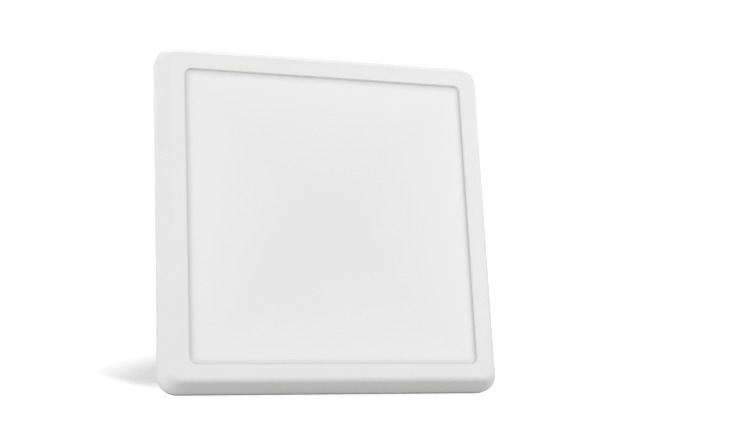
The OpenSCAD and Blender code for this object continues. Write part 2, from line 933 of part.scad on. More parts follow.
module latch(s, t) {
    low = -latch_h / 2;
    color(white)
        mirror([s < 0 ? 1 : 0, 0, 0])
            translate([latch_x, 0, t * rail_z]) {
                slab(latch_sink, latch_t)
                    round_rect(latch_w, latch_h, 1);
                for (x = [-leg_offset, leg_offset]) {
                    block(x - leg_w / 2, x + leg_w / 2, latch_sink + latch_t - nudge, skin_depth + 0.9,
                          low, low + leg_h);
                    block(x - leg_w / 2 - 0.6, x + leg_w / 2 + 0.6, skin_depth + 0.2, skin_depth + 0.9,
                          low, low + leg_h);
                }
            }
}

module latch_upper_left() {
    latch(-1, 1);
}

module latch_upper_right() {
    latch(1, 1);
}

module latch_lower_left() {
    latch(-1, -1);
}

module latch_lower_right() {
    latch(1, -1);
}

// ---- Bracket ----

module toothed_slot() {
    teeth = floor((teeth_end - teeth_start - slot_w - 2) / tooth_pitch);
    slot_plan(teeth_start, teeth_end, slot_w);
    for (i = [0 : teeth])
        translate([teeth_start + slot_w / 2 + 1 + i * tooth_pitch, 0])
            rotate(90)
                slot_plan(-tooth_w / 2, tooth_w / 2, 3.2);
}

// A rail with its inner edge towards -Z
module rail() {
    edge = rail_w / 2;
    difference() {
        union() {
            slab(0, steel_t)
                square([2 * rail_x, rail_w], center = true);
            block(-flange_end, flange_end, 0, flange_d, edge - steel_t, edge);
            both_sides() {
                block(plate_w / 2 + 0.7, flange_end, 0, flange_d, -edge, steel_t - edge);
                along_z(-edge, edge)
                    polygon([
                        [rail_x - 1, 0], [rail_x, 0], [rail_x + joggle_w, -joggle],
                        [rail_end, -joggle], [rail_end, -joggle - steel_t],
                        [rail_x + joggle_w - 0.4, -joggle - steel_t], [rail_x - 0.4, -steel_t],
                        [rail_x - 1, -steel_t]
                    ]);
            }
        }
        slab(-nudge, steel_t + 2 * nudge)
            both_plans() {
                toothed_slot();
                translate([end_slot_x, 0])
                    rotate(90)
                        slot_plan(-end_slot_l / 2, end_slot_l / 2, end_slot_w);
            }
    }
}

module tongues() {
    both_sides()
        block(rail_end - 1, tongue_end, joggle, joggle + steel_t, tongue_low, tongue_low + tongue_w);
}

module upper_rail() {
    color(steel)
        translate([0, 0, rail_z]) {
            rail();
            tongues();
        }
}

module lower_rail() {
    color(steel)
        difference() {
            translate([0, 0, -rail_z]) {
                mirror([0, 0, 1])
                    rail();
                tongues();
            }
            post(bracket_lug.x, bracket_lug.z, lug_hole_r + hole_fit, -nudge, steel_t + nudge);
        }
}

module centre_plate() {
    top = plate_h / 2;
    reach = top + plate_lap;
    color(steel)
        difference() {
            union() {
                along_x(-plate_w / 2, plate_w / 2)
                    polygon([
                        [0, -top + 1.8], [0, top - 1.8], [-steel_t, top - 0.4], [-steel_t, reach],
                        [-2 * steel_t, reach], [-2 * steel_t, top - 0.8], [-steel_t, top - 2.2],
                        [-steel_t, 2.2 - top], [-2 * steel_t, 0.8 - top], [-2 * steel_t, -reach],
                        [-steel_t, -reach], [-steel_t, 0.4 - top]
                    ]);
                both_sides()
                    block(plate_w / 2 - steel_t, plate_w / 2, 0, flange_d, 4 - top, top - 4);
                slab(steel_t / 2, steel_t / 2 + rib_d)
                    ribs(rib_w, top - 3);
            }
            slab(-nudge, nudge + rib_d)
                ribs(rib_w - 2 * steel_t, top - 3 - steel_t);
            post(0, 0, cable_r, -nudge, 3);
            post(bracket_lug.x, bracket_lug.z, lug_hole_r + hole_fit, 0, 3);
        }
}

module ribs(w, reach) {
    for (x = [-rib_x, rib_x])
        translate([x, 0])
            rotate(90)
                slot_plan(-reach, reach, w);
}

// ---- Clips: each is drawn for the right side and mirrored to the left ----

module on_rail(s, t) {
    mirror([s < 0 ? 1 : 0, 0, 0])
        translate([0, 0, t * rail_z])
            children();
}

module slider(s, t) {
    rise = slider_gap + slider_t;
    under = flange_d + 0.4;
    end = saddle_start + slider_l;
    lip = [saddle_start + 5, end - 3];
    color(steel)
        on_rail(s, t)
            difference() {
                union() {
                    block(saddle_start, end, -rise, -slider_gap, -wall_z - slider_t, wall_z + slider_t);
                    for (m = [0, 1])
                        mirror([0, 0, m]) {
                            block(saddle_start, end, -rise, under, wall_z, wall_z + slider_t);
                            block(lip[0], lip[1], under, under + slider_t, wall_z - 2, wall_z + slider_t);
                            along_z(wall_z, wall_z + slider_t)
                                union() {
                                    rect(end - 2, pin_x + ear_half, -under, pin_y);
                                    translate([pin_x, pin_y])
                                        circle(ear_half);
                                }
                        }
                    block(tab_x - 1.3, tab_x + 1.3, -rise, steel_t + 0.6, -slot_w / 2 + 0.3, slot_w / 2 - 0.3);
                }
                translate([pin_x, pin_y, -rail_w])
                    cylinder(r = pin_r + hole_fit, h = 2 * rail_w);
                block(tab_x + 1.3, tab_x + 1.3 + window / 2, -rise - nudge, 0, -window / 2, window / 2);
                block(tab_x - window / 2, tab_x - 1.3, -rise - nudge, 0, -window / 2, window / 2);
            }
}

module slider_upper_left() {
    slider(-1, 1);
}

module slider_upper_right() {
    slider(1, 1);
}

module slider_lower_left() {
    slider(-1, -1);
}

module slider_lower_right() {
    slider(1, -1);
}

module pin(s, t) {
    color(bright_steel)
        on_rail(s, t)
            translate([pin_x, pin_y, 0]) {
                translate([0, 0, -pin_half])
                    cylinder(r = pin_r, h = 2 * pin_half);
                translate([0, 0, pin_half])
                    cylinder(r = pin_r + 0.6, h = 0.8);
            }
}

module pin_upper_left() {
    pin(-1, 1);
}

module pin_upper_right() {
    pin(1, 1);
}

module pin_lower_left() {
    pin(-1, -1);
}

module pin_lower_right() {
    pin(1, -1);
}

// The coil winds on round the pin, and its tail rests on the slider
module spring(s, t) {
    steps = 12;
    rise = slider_gap + slider_t + wire_r;
    tail = [[saddle_start + 15, rise, -coil_half], [saddle_start + 20, rise, -coil_half]];
    coil = [
        for (i = [0 : steps * coil_turns])
            let (a = 360 * i / steps)
                [pin_x + coil_r * sin(a), pin_y - coil_r * cos(a),
                 coil_half * (2 * i / (steps * coil_turns) - 1)]
    ];
    color([0.3, 0.31, 0.32])
        on_rail(s, t)
            tube(concat(tail, coil), wire_r, 6);
}

module spring_upper_left() {
    spring(-1, 1);
}

module spring_upper_right() {
    spring(1, 1);
}

module spring_lower_left() {
    spring(-1, -1);
}

module spring_lower_right() {
    spring(1, -1);
}

// Half of the bail: an eye round the pin, a leg, and the bend into the cross bar
function half_bail(m) = concat(
    [for (a = [-280 : 28 : 0]) [pin_x + coil_r * sin(a), pin_y - coil_r * cos(a), m * eye_z]],
    [
        [pin_x + bail_reach / 3, tip_y - 0.2, m * (eye_z - 0.2)],
        [tip_x - 2.4, tip_y, m * (leg_z + 0.1)], [tip_x - 0.8, tip_y, m * (leg_z - 0.3)],
        [tip_x - 0.1, tip_y, m * (leg_z - 1)]
    ]
);
function reversed(p) = [for (i = [len(p) - 1 : -1 : 0]) p[i]];

module bail(s, t) {
    color([0.3, 0.31, 0.32])
        on_rail(s, t)
            tube(concat(half_bail(1), reversed(half_bail(-1))), wire_r);
}

module bail_upper_left() {
    bail(-1, 1);
}

module bail_upper_right() {
    bail(1, 1);
}

module bail_lower_left() {
    bail(-1, -1);
}

module bail_lower_right() {
    bail(1, -1);
}

module tip(s, t) {
    color([0.8, 0.82, 0.82, 0.6])
        on_rail(s, t)
            difference() {
                along_z(-tip_l / 2, tip_l / 2)
                    translate([tip_x + 0.4, tip_y])
                        slot_plan(-3.2, 3.2, 2 * tip_half);
                translate([tip_x - 0.1, tip_y, -tip_l])
                    cylinder(r = wire_r + 0.08, h = 2 * tip_l);
            }
}

module tip_upper_left() {
    tip(-1, 1);
}

module tip_upper_right() {
    tip(1, 1);
}

module tip_lower_left() {
    tip(-1, -1);
}

module tip_lower_right() {
    tip(1, -1);
}

// ---- Tether ----

module tether_rope() {
    color([0.5, 0.5, 0.48])
        tube(ROPE, rope_r);
}

// A ring lug at one point, with its crimp barrel reaching to the rope's end
module lug(at, to) {
    reach = norm(to - at);
    angle = atan2(to.z - at.z, to.x - at.x);
    translate(at)
        rotate([0, -angle, 0])
            difference() {
                union() {
                    post(0, 0, lug_r, -lug_t / 2, lug_t / 2);
                    block(lug_r - 1, lug_r + 1.5, -lug_t / 2, lug_t / 2, -1.2, 1.2);
                    translate([lug_r + 0.6, 0, 0])
                        rotate([0, 90, 0])
                            cylinder(r = barrel_r, h = reach - lug_r - 0.6);
                }
                post(0, 0, lug_hole_r, -lug_t, lug_t);
            }
}

module lamp_lug() {
    color([0.72, 0.6, 0.45])
        lug(lamp_lug, ROPE[0]);
}

module bracket_lug() {
    color([0.72, 0.6, 0.45])
        lug(bracket_lug, ROPE[len(ROPE) - 1]);
}

module tether_screw() {
    rear = -lamp_lug.y - lug_t / 2 - head_h;
    color(bright_steel)
        screw(lamp_lug.x, lamp_lug.z, rear, stack_rear - 1.6 - rear - head_h);
}

// The rivet joins the plate to the rail, and stands the lug off behind a shoulder
module tether_rivet() {
    front = -bracket_lug.y - lug_t / 2;
    color(bright_steel) {
        post(bracket_lug.x, bracket_lug.z, lug_hole_r - 0.05, 0, front + lug_t + 0.4);
        post(bracket_lug.x, bracket_lug.z, 2.6, 2 * steel_t, front);
        post(bracket_lug.x, bracket_lug.z, 2.8, front + lug_t, front + lug_t + 1);
    }
}

front_frame();
diffuser();
light_guide_plate();
reflector_sheet();
heat_spreader();
led_strip_left();
led_strip_right();
led_chips();
rear_shell();
shell_screws();
driver_board();
board_screws();
transformer();
filter_capacitors();
choke();
terminal_block();
terminal_screws();
mains_leads();
led_leads();
terminal_cover();
cover_screws();
serial_label();
rating_label();
latch_upper_left();
latch_upper_right();
latch_lower_left();
latch_lower_right();
upper_rail();
lower_rail();
centre_plate();
slider_upper_left();
slider_upper_right();
slider_lower_left();
slider_lower_right();
pin_upper_left();
pin_upper_right();
pin_lower_left();
pin_lower_right();
spring_upper_left();
spring_upper_right();
spring_lower_left();
spring_lower_right();
bail_upper_left();
bail_upper_right();
bail_lower_left();
bail_lower_right();
tip_upper_left();
tip_upper_right();
tip_lower_left();
tip_lower_right();
tether_rope();
lamp_lug();
bracket_lug();
tether_screw();
tether_rivet();
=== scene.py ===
import json
import math

import bmesh
import bpy
from mathutils import Matrix, Vector


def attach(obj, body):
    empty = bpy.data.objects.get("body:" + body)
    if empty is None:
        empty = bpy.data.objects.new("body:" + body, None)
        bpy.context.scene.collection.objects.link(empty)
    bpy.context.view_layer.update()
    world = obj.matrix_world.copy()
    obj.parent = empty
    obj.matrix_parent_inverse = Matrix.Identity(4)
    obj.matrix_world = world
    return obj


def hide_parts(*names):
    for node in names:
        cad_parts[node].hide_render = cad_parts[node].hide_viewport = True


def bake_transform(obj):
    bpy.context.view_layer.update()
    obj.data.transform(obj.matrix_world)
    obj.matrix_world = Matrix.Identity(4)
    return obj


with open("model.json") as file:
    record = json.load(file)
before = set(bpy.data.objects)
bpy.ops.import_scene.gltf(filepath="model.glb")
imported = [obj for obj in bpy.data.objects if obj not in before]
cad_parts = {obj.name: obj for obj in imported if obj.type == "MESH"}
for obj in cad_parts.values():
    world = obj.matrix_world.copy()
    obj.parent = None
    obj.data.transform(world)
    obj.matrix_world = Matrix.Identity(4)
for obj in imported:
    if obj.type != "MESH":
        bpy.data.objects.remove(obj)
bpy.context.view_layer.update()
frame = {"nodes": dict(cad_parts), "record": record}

scene = bpy.context.scene
# each corner of the light, with its direction across and up
sides = {
    "upper_left": (-1, 1), "upper_right": (1, 1), "lower_left": (-1, -1), "lower_right": (1, -1),
}
railHeight = 0.048  # from the middle of the light to the middle of a rail
mergeGap = 0.000001  # points of a CAD mesh that are nearer than this are one

# the place is in metres, the turn in degrees and the lens in millimetres
camera = {"place": (-0.3700, -1.1528, -0.2914), "turn": (103.95, 2.80, -19.23), "lens": 68.06}


def placeCamera(values):
    data = bpy.data.cameras.new("camera")
    data.lens = values["lens"]
    eye = bpy.data.objects.new("camera", data)
    scene.collection.objects.link(eye)
    eye.location = values["place"]
    eye.rotation_euler = [math.radians(angle) for angle in values["turn"]]
    scene.camera = eye


placeCamera(camera)
scene.view_settings.view_transform = "Standard"
print("camera placed")


def wire(tree, source, target):
    tree.links.new(source, target)


def newGroup(name, inputs, outputs):
    tree = bpy.data.node_groups.new(name, "ShaderNodeTree")
    kinds = {"colour": "NodeSocketColor", "value": "NodeSocketFloat", "vector": "NodeSocketVector"}
    for label, kind, start in inputs:
        socket = tree.interface.new_socket(name=label, in_out="INPUT", socket_type=kinds[kind])
        socket.default_value = start
    for label, kind in outputs:
        tree.interface.new_socket(name=label, in_out="OUTPUT", socket_type=kinds[kind])
    return tree, tree.nodes.new("NodeGroupInput").outputs, tree.nodes.new("NodeGroupOutput").inputs


def noiseNode(tree, vector, detail=3.0, roughness=0.5):
    noise = tree.nodes.new("ShaderNodeTexNoise")
    noise.inputs["Detail"].default_value = detail
    noise.inputs["Roughness"].default_value = roughness
    wire(tree, vector, noise.inputs["Vector"])
    return noise


def rangeNode(tree, value, low, high):
    node = tree.nodes.new("ShaderNodeMapRange")
    node.inputs["From Min"].default_value = low
    node.inputs["From Max"].default_value = high
    wire(tree, value, node.inputs["Value"])
    return node


# a socket is wired, and a plain number or colour is set on the input itself
def feed(tree, value, target):
    if isinstance(value, bpy.types.NodeSocket):
        wire(tree, value, target)
    else:
        target.default_value = value


# inputs 6 and 7 and output 2 are the colour sockets of a Mix node
def colourMix(tree, factor, first, second):
    node = tree.nodes.new("ShaderNodeMix")
    node.data_type = "RGBA"
    wire(tree, factor, node.inputs["Factor"])
    feed(tree, first, node.inputs[6])
    feed(tree, second, node.inputs[7])
    return node.outputs[2]


def mathNode(tree, operation, first, second):
    node = tree.nodes.new("ShaderNodeMath")
    node.operation = operation
    feed(tree, first, node.inputs[0])
    feed(tree, second, node.inputs[1])
    return node.outputs[0]


def objectPlace(tree):
    return tree.nodes.new("ShaderNodeTexCoord").outputs["Object"]


def splitPlace(tree, place):
    split = tree.nodes.new("ShaderNodeSeparateXYZ")
    wire(tree, place, split.inputs[0])
    return split.outputs


# runs a group's roughness between its two inputs, by a noise
def feedRoughness(tree, noise, given, result, band):
    rough = rangeNode(tree, noise.outputs["Fac"], *band)
    wire(tree, given["Rough Low"], rough.inputs["To Min"])
    wire(tree, given["Rough High"], rough.inputs["To Max"])
    wire(tree, rough.outputs["Result"], result["Roughness"])


# the bands are the part of a noise that runs from one tone or roughness to the other
mouldedNoise = {"toneBand": (0.35, 0.65), "roughBand": (0.3, 0.7), "grainDetail": 2.0}


# moulded plastic, film and paper: a slow change of tone and a fine grain
def makeMouldedGrain(values):
    tree, given, result = newGroup(
        "mouldedGrain",
        [("Tone", "colour", (0.9, 0.9, 0.9, 1)), ("Shade", "colour", (0.86, 0.86, 0.86, 1)),
         ("Patch Scale", "value", 14.0), ("Grain Scale", "value", 1500.0),
         ("Rough Low", "value", 0.35), ("Rough High", "value", 0.5)],
        [("Color", "colour"), ("Roughness", "value"), ("Height", "value")])
    place = objectPlace(tree)
    patch = noiseNode(tree, place)
    wire(tree, given["Patch Scale"], patch.inputs["Scale"])
    grain = noiseNode(tree, place, detail=values["grainDetail"])
    wire(tree, given["Grain Scale"], grain.inputs["Scale"])
    spread = rangeNode(tree, patch.outputs["Fac"], *values["toneBand"]).outputs["Result"]
    wire(tree, colourMix(tree, spread, given["Tone"], given["Shade"]), result["Color"])
    feedRoughness(tree, grain, given, result, values["roughBand"])
    wire(tree, grain.outputs["Fac"], result["Height"])
    return tree


drawnNoise = {
    "streaks": 0.55, "patches": 0.45, "patchScale": 60.0, "patchDetail": 4.0,
    "streakDetail": 5.0, "streakRoughness": 0.6, "toneBand": (0.36, 0.64), "roughBand": (0.3, 0.7),
}


# sheet steel and wire: streaks along one direction, dull patches, and edges painted bright, partly
# as rubbed bare metal and partly as a painted highlight
def makeDrawnMetal(values):
    tree, given, result = newGroup(
        "drawnMetal",
        [("Light", "colour", (0.5, 0.5, 0.5, 1)), ("Dark", "colour", (0.3, 0.3, 0.3, 1)),
         ("Wear And Highlight", "colour", (0.85, 0.85, 0.85, 1)), ("Stretch", "vector", (1.0, 1.0, 1.0)),
         ("Streak Scale", "value", 300.0), ("Edge Amount", "value", 0.8),
         ("Rough Low", "value", 0.3), ("Rough High", "value", 0.5)],
        [("Color", "colour"), ("Roughness", "value"), ("Height", "value")])
    place = objectPlace(tree)
    stretch = tree.nodes.new("ShaderNodeMapping")
    wire(tree, place, stretch.inputs["Vector"])
    wire(tree, given["Stretch"], stretch.inputs["Scale"])
    streak = noiseNode(tree, stretch.outputs["Vector"],
                       values["streakDetail"], values["streakRoughness"])
    wire(tree, given["Streak Scale"], streak.inputs["Scale"])
    patch = noiseNode(tree, place, detail=values["patchDetail"])
    patch.inputs["Scale"].default_value = values["patchScale"]
    streaks = mathNode(tree, "MULTIPLY", streak.outputs["Fac"], values["streaks"])
    patches = mathNode(tree, "MULTIPLY", patch.outputs["Fac"], values["patches"])
    spread = rangeNode(tree, mathNode(tree, "ADD", streaks, patches), *values["toneBand"])
    plain = colourMix(tree, spread.outputs["Result"], given["Dark"], given["Light"])
    # the bright edge colour stands partly for rubbed bare metal and partly for a painted highlight
    edge = tree.nodes.new("ShaderNodeAttribute")
    edge.attribute_name = "wearAndHighlight"
    wearAndHighlightShare = mathNode(tree, "MULTIPLY", edge.outputs["Fac"], given["Edge Amount"])
    wire(tree, colourMix(tree, wearAndHighlightShare, plain, given["Wear And Highlight"]), result["Color"])
    feedRoughness(tree, streak, given, result, values["roughBand"])
    wire(tree, streak.outputs["Fac"], result["Height"])
    return tree


openingCorners = 0.006  # how far the rim's mask is rounded in the corners


# how near a point is to the edge of a square opening, from 0 in the middle to 1 at the edge
def makeOpeningRim(rounding):
    tree, given, result = newGroup(
        "openingRim", [("Half", "value", 0.127), ("Fade", "value", 0.007)], [("Mask", "value")])
    place = splitPlace(tree, objectPlace(tree))
    across = mathNode(tree, "ABSOLUTE", place["X"], 0.0)
    upright = mathNode(tree, "ABSOLUTE", place["Z"], 0.0)
    farthest = mathNode(tree, "SMOOTH_MAX", across, upright)
    farthest.node.inputs[2].default_value = rounding
    inside = mathNode(tree, "SUBTRACT", given["Half"], farthest)
    near = mathNode(tree, "SUBTRACT", 1.0, mathNode(tree, "DIVIDE", inside, given["Fade"]))
    near.node.use_clamp = True
    wire(tree, mathNode(tree, "POWER", near, 2.0), result["Mask"])
    return tree


# a band between two heights, for a label's bare header and its ruled line
def makeHeightBand():
    tree, given, result = newGroup(
        "heightBand", [("Low", "value", 0.0), ("High", "value", 0.01)], [("Mask", "value")])
    place = splitPlace(tree, objectPlace(tree))
    above = mathNode(tree, "GREATER_THAN", place["Z"], given["Low"])
    below = mathNode(tree, "LESS_THAN", place["Z"], given["High"])
    wire(tree, mathNode(tree, "MULTIPLY", above, below), result["Mask"])
    return tree


mouldedGrain = makeMouldedGrain(mouldedNoise)
drawnMetal = makeDrawnMetal(drawnNoise)
heightBand = makeHeightBand()
openingRim = makeOpeningRim(openingCorners)
print("node groups made")


def grey(value, warm=0.0):
    return (value + warm, value, value - warm, 1)


def tint(red, green, blue):
    return (red, green, blue, 1)


# one material: a group feeds the shader, and what is the same all over is set on the shader itself
def finish(name, group, values, shader=None, bump=0.0002, strength=0.2):
    material = bpy.data.materials.new(name)
    material.use_nodes = True
    tree = material.node_tree
    surface = tree.nodes["Principled BSDF"]
    look = tree.nodes.new("ShaderNodeGroup")
    look.node_tree = group
    for label, value in values.items():
        look.inputs[label].default_value = value
    height = tree.nodes.new("ShaderNodeBump")
    height.inputs["Distance"].default_value = bump
    height.inputs["Strength"].default_value = strength
    wire(tree, look.outputs["Color"], surface.inputs["Base Color"])
    wire(tree, look.outputs["Roughness"], surface.inputs["Roughness"])
    wire(tree, look.outputs["Height"], height.inputs["Height"])
    wire(tree, height.outputs["Normal"], surface.inputs["Normal"])
    for label, value in (shader or {}).items():
        surface.inputs[label].default_value = value
    return material


finishes = {
    "white_moulding": finish("whiteMoulding", mouldedGrain, {
        "Tone": grey(0.91, 0.003), "Shade": grey(0.895, 0.003), "Grain Scale": 1400.0,
        "Rough Low": 0.42, "Rough High": 0.56},
        {"Specular IOR Level": 0.35}, bump=0.00006, strength=0.25),
    "latch_white": finish("latchPlastic", mouldedGrain, {
        "Tone": grey(0.92, 0.002), "Shade": grey(0.9, 0.002), "Grain Scale": 2200.0,
        "Rough Low": 0.32, "Rough High": 0.42},
        {"Specular IOR Level": 0.4}, bump=0.00005, strength=0.2),
    "opal_sheet": finish("opalSheet", mouldedGrain, {
        "Tone": grey(0.9), "Shade": grey(0.885), "Patch Scale": 9.0, "Grain Scale": 2600.0,
        "Rough Low": 0.5, "Rough High": 0.62},
        {"Specular IOR Level": 0.25}, bump=0.00003, strength=0.2),
    "clear_acrylic": finish("guideAcrylic", mouldedGrain, {
        "Tone": tint(0.86, 0.92, 0.92), "Shade": tint(0.8, 0.88, 0.89), "Grain Scale": 500.0,
        "Rough Low": 0.08, "Rough High": 0.2},
        {"Transmission Weight": 0.8, "IOR": 1.49}, bump=0.00005, strength=0.2),
    "reflector_film": finish("reflectorFilm", mouldedGrain, {
        "Tone": grey(0.93), "Shade": grey(0.9), "Rough Low": 0.5, "Rough High": 0.6}),
    "sheet_aluminium": finish("spreaderAluminium", drawnMetal, {
        "Light": grey(0.78), "Dark": grey(0.62), "Wear And Highlight": grey(0.9), "Stretch": (1.0, 1.0, 0.04),
        "Rough Low": 0.32, "Rough High": 0.48}, {"Metallic": 1.0}),
    "strip_board": finish("stripBoard", mouldedGrain, {
        "Tone": tint(0.88, 0.88, 0.83), "Shade": tint(0.83, 0.83, 0.78),
        "Rough Low": 0.3, "Rough High": 0.4}),
    "led_phosphor": finish("ledPhosphor", mouldedGrain, {
        "Tone": tint(0.92, 0.8, 0.25), "Shade": tint(0.88, 0.72, 0.18),
        "Rough Low": 0.2, "Rough High": 0.35}),
    "screw_steel": finish("screwSteel", drawnMetal, {
        "Light": tint(0.36, 0.4, 0.37), "Dark": tint(0.2, 0.24, 0.22), "Wear And Highlight": grey(0.6),
        "Streak Scale": 900.0, "Rough Low": 0.34, "Rough High": 0.5},
        {"Metallic": 1.0}, bump=0.00005, strength=0.2),
    "board_green": finish("boardMask", mouldedGrain, {
        "Tone": tint(0.05, 0.22, 0.1), "Shade": tint(0.03, 0.17, 0.08), "Grain Scale": 900.0,
        "Rough Low": 0.25, "Rough High": 0.35}),
    "coil_tape": finish("coilTape", mouldedGrain, {
        "Tone": tint(0.78, 0.6, 0.1), "Shade": tint(0.7, 0.5, 0.08),
        "Rough Low": 0.3, "Rough High": 0.45}),
    "capacitor_sleeve": finish("capacitorSleeve", mouldedGrain, {
        "Tone": tint(0.05, 0.05, 0.08), "Shade": tint(0.03, 0.03, 0.05),
        "Rough Low": 0.25, "Rough High": 0.35}),
    "choke_copper": finish("chokeCopper", drawnMetal, {
        "Light": tint(0.75, 0.35, 0.16), "Dark": tint(0.5, 0.2, 0.08),
        "Wear And Highlight": tint(0.9, 0.5, 0.3), "Stretch": (1.0, 0.1, 1.0),
        "Rough Low": 0.25, "Rough High": 0.4}, {"Metallic": 1.0}),
    "terminal_plastic": finish("terminalPlastic", mouldedGrain, {
        "Tone": grey(0.82, 0.01), "Shade": grey(0.78, 0.01), "Rough Low": 0.3, "Rough High": 0.42}),
    "terminal_brass": finish("terminalBrass", drawnMetal, {
        "Light": tint(0.8, 0.66, 0.34), "Dark": tint(0.62, 0.48, 0.22),
        "Wear And Highlight": tint(0.92, 0.82, 0.55), "Rough Low": 0.25, "Rough High": 0.4},
        {"Metallic": 1.0}),
    "mains_insulation": finish("mainsInsulation", mouldedGrain, {
        "Tone": tint(0.24, 0.12, 0.06), "Shade": tint(0.2, 0.1, 0.05),
        "Rough Low": 0.35, "Rough High": 0.5}),
    "led_insulation": finish("ledInsulation", mouldedGrain, {
        "Tone": tint(0.6, 0.04, 0.03), "Shade": tint(0.5, 0.03, 0.02),
        "Rough Low": 0.35, "Rough High": 0.5}),
    "serial_paper": finish("serialPaper", mouldedGrain, {
        "Tone": grey(0.34), "Shade": grey(0.3), "Patch Scale": 120.0, "Grain Scale": 3000.0,
        "Rough Low": 0.4, "Rough High": 0.55}, bump=0.00003, strength=0.2),
    "rail_steel": finish("railSteel", drawnMetal, {
        "Light": grey(0.15), "Dark": grey(0.06), "Wear And Highlight": grey(0.88), "Stretch": (0.12, 1.0, 1.0),
        "Streak Scale": 420.0, "Rough Low": 0.34, "Rough High": 0.52},
        {"Metallic": 0.9}, bump=0.00005, strength=0.15),
    "slider_steel": finish("sliderSteel", drawnMetal, {
        "Light": grey(0.16), "Dark": grey(0.06), "Wear And Highlight": grey(0.6), "Stretch": (1.0, 1.0, 0.15),
        "Streak Scale": 420.0, "Rough Low": 0.36, "Rough High": 0.52},
        {"Metallic": 0.9}, bump=0.00005, strength=0.15),
    # the pin's dark tone is partly its steel and partly painted shade inside the coil
    "pin_steel": finish("pinSteel", drawnMetal, {
        "Light": grey(0.16), "Dark": grey(0.08), "Wear And Highlight": grey(0.6), "Stretch": (1.0, 1.0, 0.1),
        "Rough Low": 0.22, "Rough High": 0.34}, {"Metallic": 1.0}),
    "spring_wire": finish("springWire", drawnMetal, {
        "Light": grey(0.66), "Dark": grey(0.4), "Wear And Highlight": grey(0.9), "Streak Scale": 700.0,
        "Rough Low": 0.24, "Rough High": 0.38}, {"Metallic": 1.0}),
    "clear_silicone": finish("clearSilicone", mouldedGrain, {
        "Tone": grey(0.97), "Shade": grey(0.94), "Patch Scale": 90.0,
        "Rough Low": 0.1, "Rough High": 0.2},
        {"Transmission Weight": 0.8, "IOR": 1.41}, bump=0.00005, strength=0.2),
    "rope_wire": finish("ropeWire", drawnMetal, {
        "Light": grey(0.42, 0.01), "Dark": grey(0.26, 0.01), "Wear And Highlight": grey(0.7),
        "Streak Scale": 1400.0, "Rough Low": 0.3, "Rough High": 0.45}, {"Metallic": 1.0}),
    "lug_copper": finish("lugCopper", drawnMetal, {
        "Light": tint(0.5, 0.42, 0.35), "Dark": tint(0.32, 0.26, 0.21),
        "Wear And Highlight": tint(0.8, 0.74, 0.68), "Streak Scale": 800.0,
        "Rough Low": 0.28, "Rough High": 0.42},
        {"Metallic": 1.0}, bump=0.00005, strength=0.2),
}


# lays further tones over a finish, each where the mask of a group says
def overlay(material, group, rows):
    tree = material.node_tree
    surface = tree.nodes["Principled BSDF"]
    under = surface.inputs["Base Color"].links[0].from_socket
    for values, tone in rows:
        mask = tree.nodes.new("ShaderNodeGroup")
        mask.node_tree = group
        for label, value in values.items():
            mask.inputs[label].default_value = value
        under = colourMix(tree, mask.outputs["Mask"], under, tone)
    wire(tree, under, surface.inputs["Base Color"])


# the rating label keeps its dark header and one ruled line, and both are left bare
finishes["rating_paper"] = finish("ratingPaper", mouldedGrain, {
    "Tone": grey(0.24), "Shade": grey(0.2), "Patch Scale": 80.0, "Grain Scale": 3000.0,
    "Rough Low": 0.4, "Rough High": 0.55}, bump=0.00003, strength=0.2)
overlay(finishes["rating_paper"], heightBand, (
    ({"Low": 0.1038, "High": 0.12}, grey(0.012)),
    ({"Low": 0.0918, "High": 0.0924}, grey(0.02))))
# painted light and shade on the sheet: it is painted lighter towards its edge, and painted darker
# where the lip shades it
overlay(finishes["opal_sheet"], openingRim, (
    ({"Half": 0.1275, "Fade": 0.1275}, grey(0.95)),
    ({"Half": 0.1275, "Fade": 0.008}, grey(0.66))))
# the rails are lighter towards their ends
overlay(finishes["rail_steel"], openingRim, (({"Half": 0.14, "Fade": 0.09}, grey(0.34)),))

# every CAD piece that stays gets the finish of its slot
slotOf = {row["node"]: row["material_slot"] for row in frame["record"]["subparts"]}
for name, node in frame["nodes"].items():
    for slot in node.material_slots:
        slot.material = finishes[slotOf[name]]
print("finishes ready:", len(finishes))


# links a piece that rides on a body and takes the place of the CAD nodes named last
def addPiece(name, mesh, body, slotName, *nodes):
    piece = bpy.data.objects.new(name, mesh)
    scene.collection.objects.link(piece)
    mesh.materials.clear()
    mesh.materials.append(finishes[slotName])
    if body:
        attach(piece, body)
    if nodes:
        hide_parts(*nodes)
    return piece


def meshFrom(name, points, faces):
    mesh = bpy.data.meshes.new(name)
    mesh.from_pydata([tuple(point) for point in points], [], faces)
    mesh.shade_smooth()
    return mesh


def closeMesh(name, bm, smooth=True):
    mesh = bpy.data.meshes.new(name)
    bm.to_mesh(mesh)
    bm.free()
    if smooth:
        mesh.shade_smooth()
    return mesh


# the flat faces keep their own shading beside the narrow rounds
def evenNormals(piece):
    normals = piece.modifiers.new("evenNormals", "WEIGHTED_NORMAL")
    normals.mode = "FACE_AREA"
    normals.keep_sharp = True


def cutMesh(mesh, cutter):
    body = bpy.data.objects.new("cutBody", mesh)
    tool = bpy.data.objects.new("cutTool", cutter)
    for item in (body, tool):
        scene.collection.objects.link(item)
    cut = body.modifiers.new("cut", "BOOLEAN")
    cut.operation = "DIFFERENCE"
    cut.solver = "EXACT"
    cut.use_self = True  # the bars of a cutter cross each other
    cut.object = tool
    graph = bpy.context.evaluated_depsgraph_get()
    result = bpy.data.meshes.new_from_object(body.evaluated_get(graph))
    for item in (body, tool):
        bpy.data.objects.remove(item)
    return result


# an edge that faces up, by how much of its normal is Z, gets less of the bright edge colour than
# the others; that colour is partly rubbed wear and partly a painted highlight
softening = {
    "bendSteps": 4, "longEdge": 0.02, "levelGap": 0.0001,
    "wearAndHighlight": 1.0, "upward": 0.3, "wearAndHighlightUpward": 0.3,
}


def sharpEdges(bm, least):
    return [edge for edge in bm.edges
            if len(edge.link_faces) == 2 and edge.calc_face_angle() > least]


